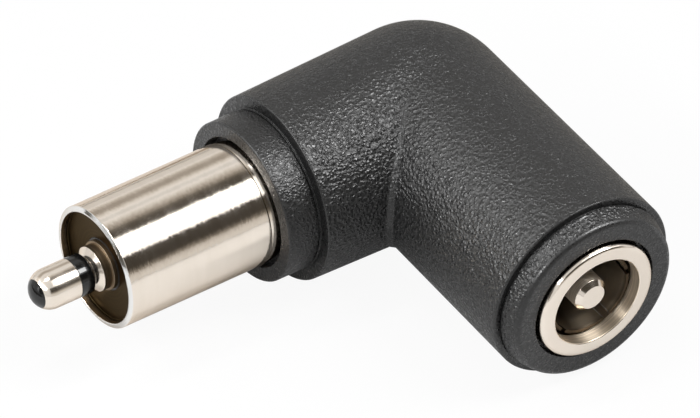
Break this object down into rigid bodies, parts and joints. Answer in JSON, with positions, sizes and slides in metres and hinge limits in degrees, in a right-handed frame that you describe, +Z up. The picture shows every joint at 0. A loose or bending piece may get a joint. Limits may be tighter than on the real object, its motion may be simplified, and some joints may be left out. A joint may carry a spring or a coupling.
{
  "type": "right-angle dc barrel adapter",
  "caption": "Right-angle power adapter: a black moulded elbow that joins a barrel socket with a centre pin to a nickel barrel plug with a coaxial tip.",
  "frame": {"origin": "under the middle of the whole part, on the surface that it lies on", "axes": "+Z up, with both axes of the elbow level; the plug points to -X and the socket opens to -Y"},
  "size_m": [0.0322, 0.0234, 0.0118],
  "materials": {
    "moulding": "black moulding with a fine spark-eroded grain",
    "barrel_nickel": "turned and nickel plated",
    "pin_nickel": "turned and nickel plated",
    "ring_nickel": "turned and nickel plated",
    "contact_nickel": "rolled sheet, nickel plated",
    "lug_nickel": "pressed sheet, nickel plated",
    "gloss_black": "glossy black",
    "black_plastic": "plain black",
    "copper": "bare copper",
    "red_jacket": "red wire jacket",
    "black_jacket": "black wire jacket",
    "solder": "solder"
  },
  "bodies": {
    "root": {"elbow_body": "moulding", "plug_barrel": "barrel_nickel", "plug_insulator": "black_plastic", "pin_sleeve": "pin_nickel", "pin_insulator": "gloss_black", "pin_tip": "pin_nickel", "tip_bead": "gloss_black", "barrel_lug": "lug_nickel", "jack_shell": "ring_nickel", "jack_contact": "contact_nickel", "jack_pin": "pin_nickel", "jack_insulator": "black_plastic", "jack_lug": "lug_nickel", "live_core": "copper", "live_jacket": "red_jacket", "return_core": "copper", "return_jacket": "black_jacket", "pin_tip_solder": "solder", "jack_pin_solder": "solder", "barrel_lug_solder": "solder", "jack_lug_solder": "solder"}
  },
  "joints": []
}
